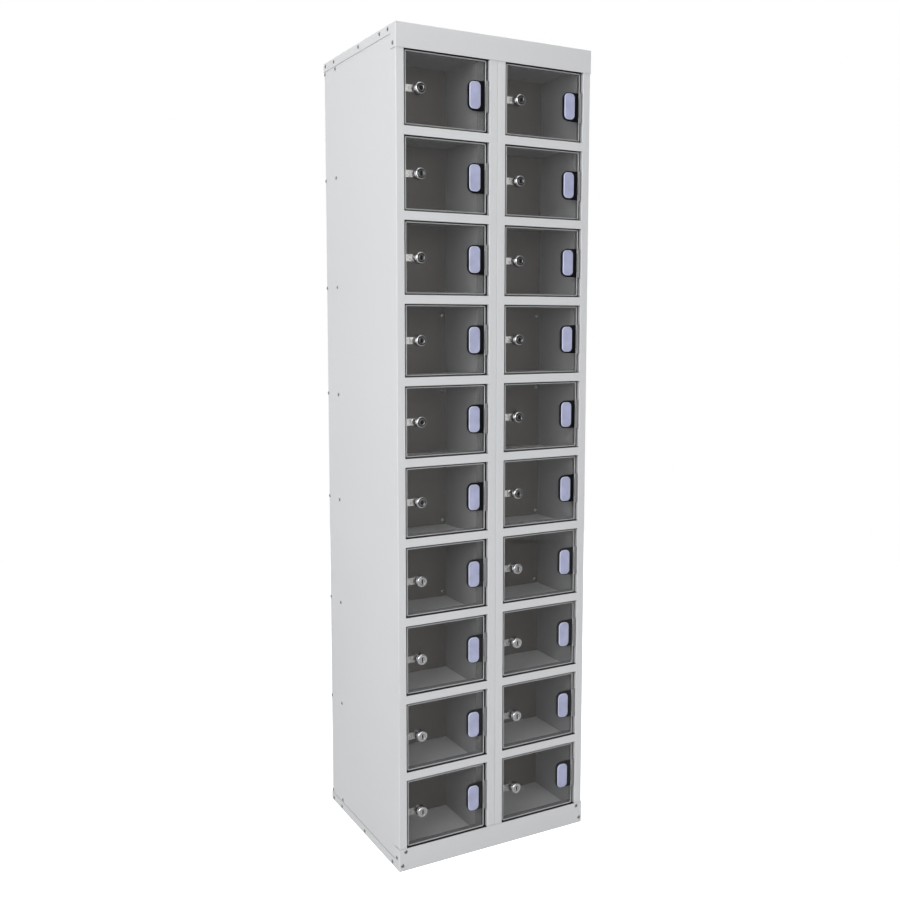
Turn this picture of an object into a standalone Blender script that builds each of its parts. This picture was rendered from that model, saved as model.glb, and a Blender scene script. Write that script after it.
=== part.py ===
"""Phone charging locker: two columns of ten compartments behind clear, cam-locked doors.

Metres, +Z up. The origin is under the middle of the object, on the floor. The front faces -Y.
Depths are written as "back": the distance behind the face of the door frames.
"""
import math

import bmesh
import bpy
from mathutils import Matrix, Vector

# ---- driving dimensions -------------------------------------------------------------------
WIDTH = 0.478              # over the cap and base trays
HEIGHT = 1.780             # floor to the top of the cap
DEPTH = 0.392              # over the cap and base trays
COLUMNS = ("L", "R")
ROWS = 10

CLEARANCE = 0.0003         # between sheets that lie on each other
LAP = 0.0005               # how far welded or moulded solids reach into each other
SHEET = 0.0012             # side panels, rear panel, service shelf
TRAY_SHEET = 0.001         # cap and base trays
NEST_SHEET = 0.001         # compartment walls and shelves
FRAME_SHEET = 0.0015       # door frames

FASCIA = 0.050             # front of the cap and of the base
FASCIA_RETURN = 0.025      # how far the full fascia height wraps round each side
TRAY_LIP = 0.0195          # the lower lip round the rest of the tray
STILE = 0.0195             # upright of a door frame beside an opening
RAIL = 0.019               # bar between two openings
FRAME_RETURN = 0.009       # depth of the turned-in edge round each opening
SIDE_FRONT_FLANGE = 0.012  # side panel's flange behind the door frame
SIDE_REAR_FLANGE = 0.020   # side panel's flange that the rear panel lies on

NEST_FRONT = 0.015         # back from the frame's face to the compartments' front plate
NEST_DEPTH = 0.158         # back from the frame's face to the compartments' rear wall
NEST_INSET = {"L": (0.0095, 0.0225), "R": (0.0095, 0.0070)}  # opening's edge to wall, left and right
SHELF_ABOVE_OPENING = 0.007   # a compartment's ceiling above its opening
BORDER_TOP = 0.0045        # front plate seen under the opening's top edge
BORDER_BOTTOM = 0.0065     # front plate seen above the opening's bottom edge
NEST_PLATE_INSET = 0.0005  # front plate's left edge inside the opening

PANE_THICKNESS = 0.0055
PANE_BACK = 0.0015         # pane's face behind the frame's face
PANE_GAP = 0.0028          # round three edges
PANE_CORNER = 0.003
PIN_TO_JAMB = 0.004        # hinge pin's centre from the opening's right edge
PIN_RADIUS = 0.0013
KNUCKLE_RADIUS = 0.0031
KNUCKLE_BORE = 0.0017
KNUCKLE_TO_PANE = 0.0006
HINGE_HEIGHT = 0.065
HINGE_MIDDLE = 0.041       # height of the door's own knuckle
HINGE_SLOT = 0.0004        # between the door's knuckle and the frame's
PIN_SUNK = 0.001           # pin's ends inside the outer knuckles
WEB_STEP = 0.0005          # web's ends inside its knuckle's
DOOR_WEB = (0.002, 0.001, 0.0013)  # into the pane's edge, into its rear, behind the pane
KNUCKLE_SIDES = 8
PIN_SIDES = 6
LOCK_SIDES = 16
PLUG_SIDES = 10
HINGE_BODY = (0.042, 0.0625, 0.0045)   # width, height, thickness behind the pane
HINGE_BODY_CORNER = 0.015
HINGE_PLATE = (0.026, 0.0555, 0.0025)  # width, height, thickness in front of the pane
HINGE_PLATE_INSET = 0.0015  # from the hinge body's left edge

LOCK_FROM_EDGE = 0.035     # lock's axis from the opening's left edge
LOCK_HEAD_RADIUS = 0.0115
LOCK_HEAD_PROUD = 0.0065   # head's face in front of the frame's face
LOCK_NUT_RADIUS = 0.0125
LOCK_NUT_THICKNESS = 0.0027
PLUG_RADIUS = 0.0055
PLUG_CLEARANCE = 0.0004
PLUG_SUNK = 0.0003         # plug's face behind the head's face
CAM_HEIGHT = 0.0145
CAM_SHEET = 0.0018
CAM_TAIL = 0.008           # behind the plug's centre, away from the tip
CAM_CATCH = 0.0035         # tip's reach behind the frame's return
CAM_JOGGLE_FROM_AXIS = 0.0185
CAM_JOGGLE_WIDTH = 0.003
CAM_BEHIND_RETURN = 0.0009
CAM_BEHIND_NUT = 0.0006

SOCKET_FROM_WALL = 0.030   # socket's centre from the compartment's left wall
SOCKET_ABOVE_FLOOR = 0.034
SOCKET_NOSE = (0.034, 0.020)
SOCKET_PROUD = 0.003
SOCKET_CLEARANCE = 0.0004
RAIL_BODY = (0.044, 0.022)  # charging rail behind the wall: width, depth
RAIL_END = 0.018           # rail beyond its end sockets' centres

BAY_SHELF_HEIGHT = 0.120
BAY_SHELF_DEPTH = 0.170
BAY_SHELF_LIP = 0.015
BAY_SHELF_SIDE_GAP = 0.0005
BAY_SHELF_REAR_GAP = 0.004  # to the side panels' rear flanges
POWER_SUPPLY = (0.240, 0.110, 0.062)
POWER_SUPPLY_FROM_RIGHT = 0.060
INLET_FLANGE = (0.050, 0.032, 0.0025)
INLET_CORNER = 0.003
INLET_BODY = (0.028, 0.024, 0.026)
INLET_RECESS = (0.0245, 0.0165, 0.016)
INLET_FROM_LEFT = 0.085
INLET_HEIGHT = 0.190
LEAD_RADIUS = 0.0035
LEAD_STUB = 0.012          # straight run where a lead enters a housing
VENT_SLOT = (0.060, 0.005)
VENT_PITCH = 0.014
VENT_ROWS = 6
VENT_COLUMNS = 3
VENT_FROM_END = 0.110
REAR_PANEL_MARGIN = 0.008  # rear panels' edges from the side panels
INLET_PANEL_ROUND = 0.045  # inlet's centre to its panel's top and right edges
PANEL_SEAM = 0.001         # gap between two rear panels

# ---- worked-out positions -----------------------------------------------------------------
TRAY_PROUD = TRAY_SHEET + CLEARANCE                 # tray's face over the carcass
FACE_Y = -(DEPTH - TRAY_PROUD - LOCK_HEAD_PROUD) / 2  # frame face; the lock heads are foremost
REAR = DEPTH - 2 * TRAY_PROUD                       # carcass's back, behind the frame's face
CARCASS_HALF = WIDTH / 2 - TRAY_PROUD
CARCASS_LOW = TRAY_PROUD
CARCASS_HIGH = HEIGHT - TRAY_PROUD
MODULE = WIDTH / 2
OPENING_WIDTH = MODULE - 2 * STILE
OPENING_HEIGHT = (HEIGHT - 2 * FASCIA - (ROWS - 1) * RAIL) / ROWS
PITCH = OPENING_HEIGHT + RAIL
PANE_REAR = PANE_BACK + PANE_THICKNESS
PIN_BACK = PANE_BACK + PANE_THICKNESS / 2
CAM_TIP_BACK = FRAME_RETURN + CAM_BEHIND_RETURN
CAM_ROOT_BACK = PANE_REAR + LOCK_NUT_THICKNESS + CAM_BEHIND_NUT

COLOURS = {
    "painted_steel": ((0.60, 0.61, 0.62), 0.45, 0.0),
    "inner_steel": ((0.30, 0.30, 0.29), 0.55, 0.0),
    "clear_door": ((0.75, 0.78, 0.80), 0.10, 0.0),
    "lock_metal": ((0.75, 0.75, 0.76), 0.20, 1.0),
    "black_plastic": ((0.02, 0.02, 0.022), 0.50, 0.0),
    "supply_case": ((0.55, 0.56, 0.57), 0.35, 0.9),
    "lead_sheath": ((0.015, 0.015, 0.015), 0.60, 0.0),
}


def y_at(back):
    return FACE_Y + back


def opening_left(column):
    return -MODULE + STILE + COLUMNS.index(column) * MODULE


def opening_bottom(row):
    """Row 1 is the top one."""
    return FASCIA + (ROWS - row) * PITCH


def opening_middle(row):
    return opening_bottom(row) + OPENING_HEIGHT / 2


def nest_walls(column):
    left, right = NEST_INSET[column]
    return opening_left(column) + left, opening_left(column) + OPENING_WIDTH - right


def shelf_top(row):
    """Upper surface of the shelf that is the floor of this row."""
    return opening_bottom(row) - RAIL + SHELF_ABOVE_OPENING + NEST_SHEET


# ---- modelling helpers --------------------------------------------------------------------
def clear_scene():
    for obj in list(bpy.data.objects):
        bpy.data.objects.remove(obj, do_unlink=True)


def new_collection(name):
    collection = bpy.data.collections.new(name)
    bpy.context.scene.collection.children.link(collection)
    return collection


def material(name):
    found = bpy.data.materials.get(name)
    if found:
        return found
    colour, roughness, metallic = COLOURS[name]
    made = bpy.data.materials.new(name)
    made.use_nodes = True
    shader = made.node_tree.nodes["Principled BSDF"]
    shader.inputs["Base Color"].default_value = (*colour, 1.0)
    shader.inputs["Roughness"].default_value = roughness
    shader.inputs["Metallic"].default_value = metallic
    return made


def add_box(bm, low, high):
    size = [h - l for l, h in zip(low, high)]
    middle = [(h + l) / 2 for l, h in zip(low, high)]
    place = Matrix.Translation(middle) @ Matrix.Diagonal((*size, 1.0))
    return bmesh.ops.create_cube(bm, size=1.0, matrix=place)["verts"]


def add_cylinder(bm, centre, radius, length, axis, sides):
    turn = Vector((0, 0, 1)).rotation_difference(Vector(axis)).to_matrix().to_4x4()
    bmesh.ops.create_cone(bm, cap_ends=True, segments=sides, radius1=radius, radius2=radius,
                          depth=length, matrix=Matrix.Translation(centre) @ turn)


def boxes_mesh(name, boxes):
    bm = bmesh.new()
    for low, high in boxes:
        add_box(bm, low, high)
    mesh = bpy.data.meshes.new(name)
    bm.to_mesh(mesh)
    bm.free()
    return mesh


def mesh_from(name, bm):
    bmesh.ops.recalc_face_normals(bm, faces=bm.faces)
    mesh = bpy.data.meshes.new(name)
    bm.to_mesh(mesh)
    bm.free()
    return mesh


def part(name, mesh, slot, location=(0, 0, 0)):
    obj = bpy.data.objects.new(name, mesh)
    obj.location = location
    if not mesh.materials:
        mesh.materials.append(material(slot))
    LOCKER.objects.link(obj)
    return obj


def tool(name, mesh, location=(0, 0, 0)):
    """A hidden object that cuts or joins a part."""
    obj = bpy.data.objects.new(name, mesh)
    obj.location = location
    obj.hide_render = True
    obj.display_type = "WIRE"
    TOOLS.objects.link(obj)
    return obj


def boolean(obj, other, operation):
    modifier = obj.modifiers.new(operation.lower(), "BOOLEAN")
    modifier.operation = operation
    modifier.object = other
    return modifier


def evaluated_mesh(obj, name):
    bpy.context.view_layer.update()
    graph = bpy.context.evaluated_depsgraph_get()
    return bpy.data.meshes.new_from_object(obj.evaluated_get(graph), depsgraph=graph)


def joined(name, solids, cuts=()):
    """One mesh from overlapping solids, each a mesh, less the cuts."""
    base = tool(name + "_stock", solids[0])
    for number, mesh in enumerate(solids[1:]):
        boolean(base, tool(f"{name}_joined_{number}", mesh), "UNION")
    for number, mesh in enumerate(cuts):
        boolean(base, tool(f"{name}_cut_{number}", mesh), "DIFFERENCE")
    mesh = evaluated_mesh(base, name)
    mesh.name = name
    return mesh


def outline_solid(name, points, low, high, axis):
    """An outline extruded along Y or Z; points are the other two coordinates in X, Y, Z order."""
    bm = bmesh.new()
    if axis == "Y":
        corners = [bm.verts.new((u, low, v)) for u, v in points]
        push = (0, high - low, 0)
    else:
        corners = [bm.verts.new((u, v, low)) for u, v in points]
        push = (0, 0, high - low)
    face = bm.faces.new(corners)
    grown = bmesh.ops.extrude_face_region(bm, geom=[face])
    moved = [item for item in grown["geom"] if isinstance(item, bmesh.types.BMVert)]
    bmesh.ops.translate(bm, verts=moved, vec=push)
    return mesh_from(name, bm)


def rounded_outline(left, right, low, high, radii, steps):
    """Corner radii run from the top left, clockwise; a zero radius is a sharp corner."""
    corners = (
        (left, high, 1, -1, 180), (right, high, -1, -1, 90),
        (right, low, -1, 1, 0), (left, low, 1, 1, 270),
    )
    points = []
    for (x, z, inward_x, inward_z, start), radius in zip(corners, radii):
        if radius == 0:
            points.append((x, z))
            continue
        centre = (x + inward_x * radius, z + inward_z * radius)
        for step in range(steps + 1):
            angle = math.radians(start - 90 * step / steps)
            points.append((centre[0] + radius * math.cos(angle),
                           centre[1] + radius * math.sin(angle)))
    return points


def round_bar(name, start, end, radius, sides):
    bm = bmesh.new()
    start = Vector(start)
    end = Vector(end)
    add_cylinder(bm, (start + end) / 2, radius, (end - start).length, end - start, sides)
    return mesh_from(name, bm)


def folded_sheet(name, profile, low, high, thickness, slot):
    """A sheet bent along an open line in plan, from low to high. It thickens to the line's left."""
    bm = bmesh.new()
    line = [bm.verts.new((x, y, low)) for x, y in profile]
    edges = [bm.edges.new(pair) for pair in zip(line, line[1:])]
    grown = bmesh.ops.extrude_edge_only(bm, edges=edges)
    moved = [item for item in grown["geom"] if isinstance(item, bmesh.types.BMVert)]
    bmesh.ops.translate(bm, verts=moved, vec=(0, 0, high - low))
    mesh = bpy.data.meshes.new(name)
    bm.to_mesh(mesh)
    bm.free()
    obj = part(name, mesh, slot)
    shell = obj.modifiers.new("sheet", "SOLIDIFY")
    shell.thickness = thickness
    shell.offset = 1.0
    shell.use_even_offset = True
    return obj


# ---- carcass ------------------------------------------------------------------------------
def tray(name, upside_down):
    """The cap, or the base when upside down: a folded tray with a deep front."""
    outer_low = HEIGHT - FASCIA
    bm = bmesh.new()
    add_box(bm, (-WIDTH / 2, y_at(-TRAY_PROUD), outer_low), (WIDTH / 2, y_at(DEPTH - TRAY_PROUD), HEIGHT))
    under = [f for f in bm.faces if f.normal.z < -0.5]
    bmesh.ops.delete(bm, geom=under, context="FACES")
    if upside_down:
        flip = Matrix.Translation((0, 0, HEIGHT)) @ Matrix.Diagonal((1, 1, -1, 1))
        bmesh.ops.transform(bm, matrix=flip, verts=bm.verts)
        bmesh.ops.reverse_faces(bm, faces=bm.faces)
    mesh = bpy.data.meshes.new(name)
    bm.to_mesh(mesh)
    bm.free()
    obj = part(name, mesh, "painted_steel")
    shell = obj.modifiers.new("sheet", "SOLIDIFY")
    shell.thickness = TRAY_SHEET
    shell.offset = -1.0
    shell.use_even_offset = True
    cut_low, cut_high = outer_low - FASCIA, HEIGHT - TRAY_LIP
    if upside_down:
        cut_low, cut_high = HEIGHT - cut_high, HEIGHT - cut_low
    cut = boxes_mesh(name + "_step", [(
        (-WIDTH, y_at(FASCIA_RETURN - TRAY_PROUD), cut_low), (WIDTH, y_at(2 * DEPTH), cut_high))])
    boolean(obj, tool(name + "_step", cut), "DIFFERENCE")


def side_panel(name, side):
    """side is -1 on the left and 1 on the right."""
    face = side * CARCASS_HALF
    front = y_at(FRAME_SHEET + CLEARANCE)
    rear = y_at(REAR - SHEET - CLEARANCE)
    profile = [
        (face - side * SIDE_FRONT_FLANGE, front), (face, front),
        (face, rear), (face - side * SIDE_REAR_FLANGE, rear),
    ]
    if side < 0:
        profile.reverse()
    folded_sheet(name, profile, CARCASS_LOW, CARCASS_HIGH, SHEET, "painted_steel")


def hinge_fixed_half(column, row):
    """The frame's two knuckles, their webs and the pin, as separate overlapping solids."""
    x = opening_left(column) + OPENING_WIDTH - PIN_TO_JAMB
    y = y_at(PIN_BACK)
    z = opening_middle(row)
    into_jamb = x + PIN_TO_JAMB + FRAME_SHEET / 2
    solids = [round_bar("pin", (x, y, z - HINGE_HEIGHT / 2 + PIN_SUNK),
                        (x, y, z + HINGE_HEIGHT / 2 - PIN_SUNK), PIN_RADIUS, PIN_SIDES)]
    inner = HINGE_MIDDLE / 2 + HINGE_SLOT
    for low, high in ((-HINGE_HEIGHT / 2, -inner), (inner, HINGE_HEIGHT / 2)):
        solids.append(round_bar("knuckle", (x, y, z + low), (x, y, z + high), KNUCKLE_RADIUS, KNUCKLE_SIDES))
        web = boxes_mesh("web", [((x, y - FRAME_SHEET / 2, z + low + WEB_STEP),
                                  (into_jamb, y + FRAME_SHEET / 2, z + high - WEB_STEP))])
        solids.append(web)
    return solids


def front_frame(column):
    """Pressed ladder of two stiles and eleven bars, its openings' edges turned in."""
    name = "front_frame_left" if column == "L" else "front_frame_right"
    index = COLUMNS.index(column)
    left = -CARCASS_HALF if index == 0 else CLEARANCE / 2
    right = -CLEARANCE / 2 if index == 0 else CARCASS_HALF
    sheet = boxes_mesh(name, [((left, y_at(0), CARCASS_LOW), (right, y_at(FRAME_SHEET), CARCASS_HIGH))])
    opening_x = opening_left(column)
    turned, holes = [], []
    for row in range(1, ROWS + 1):
        low = opening_bottom(row)
        turned.append((
            (opening_x - FRAME_SHEET, y_at(FRAME_SHEET / 2), low - FRAME_SHEET),
            (opening_x + OPENING_WIDTH + FRAME_SHEET, y_at(FRAME_RETURN), low + OPENING_HEIGHT + FRAME_SHEET),
        ))
        holes.append((
            (opening_x, y_at(-FRAME_RETURN), low),
            (opening_x + OPENING_WIDTH, y_at(2 * FRAME_RETURN), low + OPENING_HEIGHT),
        ))
    ladder = joined(name + "_ladder", [sheet, boxes_mesh("turned", turned)], [boxes_mesh("holes", holes)])
    solids = [ladder]
    for row in range(1, ROWS + 1):
        solids += hinge_fixed_half(column, row)
    part(name, joined(name, solids), "painted_steel")


def compartment_nest(column):
    """Ten compartments in one welded stack: side walls, rear wall, shelves and a front plate."""
    name = "compartment_nest_left" if column == "L" else "compartment_nest_right"
    left, right = nest_walls(column)
    top = opening_bottom(1) + OPENING_HEIGHT + SHELF_ABOVE_OPENING
    bottom = shelf_top(ROWS)
    front = y_at(NEST_FRONT)
    rear = y_at(NEST_DEPTH)
    edge_left = opening_left(column) + NEST_PLATE_INSET
    edge_right = opening_left(column) + OPENING_WIDTH - PIN_TO_JAMB - KNUCKLE_RADIUS
    block = boxes_mesh(name, [((left - NEST_SHEET, front, bottom - NEST_SHEET),
                               (right + NEST_SHEET, rear + NEST_SHEET, top + NEST_SHEET))])
    plate = boxes_mesh("flange", [((edge_left, front, bottom - NEST_SHEET),
                                   (max(edge_right, right + NEST_SHEET), front + NEST_SHEET, top + NEST_SHEET))])
    cavities, windows, sockets = [], [], []
    for row in range(1, ROWS + 1):
        floor = shelf_top(row)
        ceiling = opening_bottom(row) + OPENING_HEIGHT + SHELF_ABOVE_OPENING
        cavities.append(((left, front + NEST_SHEET, floor), (right, rear, ceiling)))
        windows.append((
            (left, front - NEST_SHEET, opening_bottom(row) + BORDER_BOTTOM),
            (right, front + 2 * NEST_SHEET, opening_bottom(row) + OPENING_HEIGHT - BORDER_TOP),
        ))
        x = left + SOCKET_FROM_WALL
        z = floor + SOCKET_ABOVE_FLOOR
        half_width = SOCKET_NOSE[0] / 2 + SOCKET_CLEARANCE
        half_height = SOCKET_NOSE[1] / 2 + SOCKET_CLEARANCE
        sockets.append(((x - half_width, rear - NEST_SHEET, z - half_height),
                        (x + half_width, rear + 2 * NEST_SHEET, z + half_height)))
    cuts = [boxes_mesh("cavities", cavities), boxes_mesh("windows", windows), boxes_mesh("sockets", sockets)]
    part(name, joined(name, [block, plate], cuts), "inner_steel")


def rear_panels():
    """Screwed-on covers: a tall vented one, and below it a narrow one round the inlet and a plain one."""
    half = CARCASS_HALF - SHEET - REAR_PANEL_MARGIN
    low, high = CARCASS_LOW + REAR_PANEL_MARGIN, CARCASS_HIGH - REAR_PANEL_MARGIN
    near, far = y_at(REAR - SHEET), y_at(REAR)
    x = -CARCASS_HALF + INLET_FROM_LEFT
    split = INLET_HEIGHT + INLET_PANEL_ROUND
    seam = x + INLET_PANEL_ROUND
    slots = []
    spread = 2 * half / (VENT_COLUMNS + 1)
    for line in range(VENT_ROWS):
        for end in (low + VENT_FROM_END + INLET_HEIGHT, high - VENT_FROM_END - VENT_ROWS * VENT_PITCH):
            z = end + line * VENT_PITCH
            for place in range(VENT_COLUMNS):
                middle = -half + spread * (place + 1)
                slots.append(((middle - VENT_SLOT[0] / 2, near - SHEET, z - VENT_SLOT[1] / 2),
                              (middle + VENT_SLOT[0] / 2, far + SHEET, z + VENT_SLOT[1] / 2)))
    tall = boxes_mesh("rear_panel", [((-half, near, split + PANEL_SEAM), (half, far, high))])
    part("rear_panel", joined("rear_panel", [tall], [boxes_mesh("slots", slots)]), "painted_steel")
    part("lower_rear_panel", boxes_mesh("lower_rear_panel", [((seam + PANEL_SEAM, near, low), (half, far, split))]),
         "painted_steel")
    half_width = INLET_BODY[0] / 2 + CLEARANCE
    half_height = INLET_BODY[1] / 2 + CLEARANCE
    hole = ((x - half_width, near - SHEET, INLET_HEIGHT - half_height),
            (x + half_width, far + SHEET, INLET_HEIGHT + half_height))
    narrow = boxes_mesh("inlet_panel", [((-half, near, low), (seam, far, split))])
    part("inlet_panel", joined("inlet_panel", [narrow], [boxes_mesh("inlet_hole", [hole])]), "painted_steel")


# ---- doors --------------------------------------------------------------------------------
def door_mesh():
    """Clear pane with its hinge half and lock body, about the hinge pin's middle."""
    left = -(OPENING_WIDTH - PIN_TO_JAMB - PANE_GAP)
    right = -(KNUCKLE_RADIUS + KNUCKLE_TO_PANE)
    half = OPENING_HEIGHT / 2 - PANE_GAP
    front = -PANE_THICKNESS / 2
    rear = PANE_THICKNESS / 2
    pane = outline_solid("pane", rounded_outline(left, right, -half, half, [PANE_CORNER] * 4, 1),
                         front, rear, "Y")
    body_right = right - WEB_STEP
    body_left = body_right - HINGE_BODY[0]
    body_half = HINGE_BODY[1] / 2
    radii = [HINGE_BODY_CORNER, 0, 0, HINGE_BODY_CORNER]
    body = outline_solid("hinge_body", rounded_outline(body_left, body_right, -body_half, body_half, radii, 3),
                         rear - LAP, rear + HINGE_BODY[2], "Y")
    plate_left = body_left + HINGE_PLATE_INSET
    plate_half = HINGE_PLATE[1] / 2
    plate_radius = HINGE_PLATE[0] / 2 - LAP
    plate = outline_solid(
        "hinge_plate",
        rounded_outline(plate_left, plate_left + HINGE_PLATE[0], -plate_half, plate_half, [plate_radius] * 4, 2),
        front - HINGE_PLATE[2], front + LAP, "Y")
    knuckle = round_bar("knuckle", (0, 0, -HINGE_MIDDLE / 2), (0, 0, HINGE_MIDDLE / 2),
                        KNUCKLE_RADIUS, KNUCKLE_SIDES)
    web = boxes_mesh("web", [((right - DOOR_WEB[0], rear - DOOR_WEB[1], -HINGE_MIDDLE / 2 + WEB_STEP),
                              (-KNUCKLE_BORE, rear + DOOR_WEB[2], HINGE_MIDDLE / 2 - WEB_STEP))])
    lock_x = left - PANE_GAP + LOCK_FROM_EDGE
    head_face = -(PIN_BACK + LOCK_HEAD_PROUD)
    head = round_bar("head", (lock_x, head_face, 0), (lock_x, rear - LAP, 0), LOCK_HEAD_RADIUS, LOCK_SIDES)
    nut = round_bar("nut", (lock_x, rear - LAP, 0), (lock_x, rear + LOCK_NUT_THICKNESS, 0),
                    LOCK_NUT_RADIUS, 6)
    pin_bore = round_bar("pin_bore", (0, 0, -HINGE_MIDDLE), (0, 0, HINGE_MIDDLE), KNUCKLE_BORE, PIN_SIDES)
    plug_bore = round_bar("plug_bore", (lock_x, 2 * head_face, 0), (lock_x, 4 * rear + LOCK_NUT_THICKNESS, 0),
                          PLUG_RADIUS + PLUG_CLEARANCE, PLUG_SIDES)
    return joined("door", [pane, body, plate, knuckle, web, head, nut], [pin_bore, plug_bore])


def cam_mesh():
    """Lock plug and cam bar in one, about the lock's axis where it crosses the frame's face."""
    tip_left = -(LOCK_FROM_EDGE + FRAME_SHEET + CAM_CATCH)
    joggle = -CAM_JOGGLE_FROM_AXIS
    tip = CAM_TIP_BACK
    root = CAM_ROOT_BACK
    sheet = CAM_SHEET
    plan = [
        (tip_left, tip), (joggle - CAM_JOGGLE_WIDTH, tip), (joggle, root), (CAM_TAIL, root),
        (CAM_TAIL, root + sheet), (joggle, root + sheet), (joggle - CAM_JOGGLE_WIDTH, tip + sheet),
        (tip_left, tip + sheet),
    ]
    bar = outline_solid("cam_bar", plan, -CAM_HEIGHT / 2, CAM_HEIGHT / 2, "Z")
    plug = round_bar("plug", (0, PLUG_SUNK - LOCK_HEAD_PROUD, 0), (0, root + sheet / 2, 0), PLUG_RADIUS, PLUG_SIDES)
    return joined("lock_cam", [bar, plug])


def doors():
    door = door_mesh()
    cam = cam_mesh()
    for column in COLUMNS:
        for row in range(1, ROWS + 1):
            tag = f"{column}{row:02d}"
            pin_x = opening_left(column) + OPENING_WIDTH - PIN_TO_JAMB
            lock_x = opening_left(column) + LOCK_FROM_EDGE
            z = opening_middle(row)
            hung = part("door_" + tag, door, "clear_door", (pin_x, y_at(PIN_BACK), z))
            turned = part("lock_cam_" + tag, cam, "lock_metal")
            turned.parent = hung
            turned.location = (lock_x - pin_x, -PIN_BACK, 0)


# ---- charging gear ------------------------------------------------------------------------
def charging_rail(column):
    """Housing behind the rear wall with one socket nose for each compartment."""
    name = "charging_rail_left" if column == "L" else "charging_rail_right"
    x = nest_walls(column)[0] + SOCKET_FROM_WALL
    low = shelf_top(ROWS) + SOCKET_ABOVE_FLOOR - RAIL_END
    high = shelf_top(1) + SOCKET_ABOVE_FLOOR + RAIL_END
    near = NEST_DEPTH + NEST_SHEET + CLEARANCE
    body = boxes_mesh(name, [((x - RAIL_BODY[0] / 2, y_at(near), low),
                              (x + RAIL_BODY[0] / 2, y_at(near + RAIL_BODY[1]), high))])
    noses = []
    for row in range(1, ROWS + 1):
        z = shelf_top(row) + SOCKET_ABOVE_FLOOR
        noses.append(((x - SOCKET_NOSE[0] / 2, y_at(NEST_DEPTH - SOCKET_PROUD), z - SOCKET_NOSE[1] / 2),
                      (x + SOCKET_NOSE[0] / 2, y_at(near + 0.001), z + SOCKET_NOSE[1] / 2)))
    part(name, joined(name, [body, boxes_mesh("noses", noses)]), "black_plastic")


def bay_shelf_front():
    return REAR - SHEET - CLEARANCE - SHEET - BAY_SHELF_REAR_GAP - BAY_SHELF_DEPTH


def service_shelf():
    """Folded shelf low in the rear bay that carries the power supply."""
    half = CARCASS_HALF - SHEET - BAY_SHELF_SIDE_GAP
    front = bay_shelf_front()
    rear = front + BAY_SHELF_DEPTH
    top = BAY_SHELF_HEIGHT
    plate = boxes_mesh("service_shelf", [((-half, y_at(front), top - SHEET), (half, y_at(rear), top))])
    lips = boxes_mesh("shelf_lips", [
        ((-half, y_at(front), top - BAY_SHELF_LIP), (half, y_at(front + SHEET), top - SHEET / 2)),
        ((-half, y_at(rear - SHEET), top - BAY_SHELF_LIP), (half, y_at(rear), top - SHEET / 2)),
    ])
    part("service_shelf", joined("service_shelf", [plate, lips]), "inner_steel")


def supply_box():
    """Low and high corners of the power supply."""
    right = CARCASS_HALF - POWER_SUPPLY_FROM_RIGHT
    front = bay_shelf_front() + (BAY_SHELF_DEPTH - POWER_SUPPLY[1]) / 2
    low = BAY_SHELF_HEIGHT + CLEARANCE
    return ((right - POWER_SUPPLY[0], y_at(front), low),
            (right, y_at(front + POWER_SUPPLY[1]), low + POWER_SUPPLY[2]))


def power_supply():
    low, high = supply_box()
    bm = bmesh.new()
    add_box(bm, low, high)
    uprights = [e for e in bm.edges if abs(e.verts[0].co.z - e.verts[1].co.z) > POWER_SUPPLY[2] / 2]
    bmesh.ops.bevel(bm, geom=uprights, offset=0.003, segments=1, affect="EDGES", profile=0.5)
    part("power_supply", mesh_from("power_supply", bm), "supply_case")


def mains_inlet():
    """Inlet fixed from inside: its mouth is flush with the rear panel, its flange lies behind it."""
    x = -CARCASS_HALF + INLET_FROM_LEFT
    z = INLET_HEIGHT
    flange_rear = REAR - SHEET - CLEARANCE
    flange = rounded_outline(x - INLET_FLANGE[0] / 2, x + INLET_FLANGE[0] / 2,
                             z - INLET_FLANGE[1] / 2, z + INLET_FLANGE[1] / 2, [INLET_CORNER] * 4, 1)
    body = boxes_mesh("inlet_body", [
        ((x - INLET_BODY[0] / 2, y_at(REAR - INLET_BODY[2]), z - INLET_BODY[1] / 2),
         (x + INLET_BODY[0] / 2, y_at(REAR), z + INLET_BODY[1] / 2))])
    plate = outline_solid("inlet_flange", flange, y_at(flange_rear - INLET_FLANGE[2]), y_at(flange_rear), "Y")
    recess = boxes_mesh("inlet_recess", [
        ((x - INLET_RECESS[0] / 2, y_at(REAR - INLET_RECESS[2]), z - INLET_RECESS[1] / 2),
         (x + INLET_RECESS[0] / 2, y_at(REAR + INLET_RECESS[2]), z + INLET_RECESS[1] / 2))])
    part("mains_inlet", joined("mains_inlet", [body, plate], [recess]), "black_plastic")


def smooth_route(points, step):
    """Points about a step apart on a smooth curve through the given ones."""
    knots = [Vector(p) for p in points]
    knots = [2 * knots[0] - knots[1]] + knots + [2 * knots[-1] - knots[-2]]
    route = []
    for a, b, c, d in zip(knots, knots[1:], knots[2:], knots[3:]):
        count = max(1, round((c - b).length / step))
        for i in range(count):
            t = i / count
            route.append(0.5 * (2 * b + (c - a) * t + (2 * a - 5 * b + 4 * c - d) * t * t
                                + (3 * b - a - 3 * c + d) * t ** 3))
    route.append(knots[-2])
    return route


def lead(name, points):
    route = smooth_route(points, 5 * LEAD_RADIUS)
    data = bpy.data.curves.new(name, "CURVE")
    data.dimensions = "3D"
    data.bevel_depth = LEAD_RADIUS
    data.bevel_resolution = 2
    data.use_fill_caps = True
    spline = data.splines.new("POLY")
    spline.points.add(len(route) - 1)
    for point, place in zip(spline.points, route):
        point.co = (*place, 1.0)
    data.materials.append(material("lead_sheath"))
    obj = bpy.data.objects.new(name, data)
    LOCKER.objects.link(obj)


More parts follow.
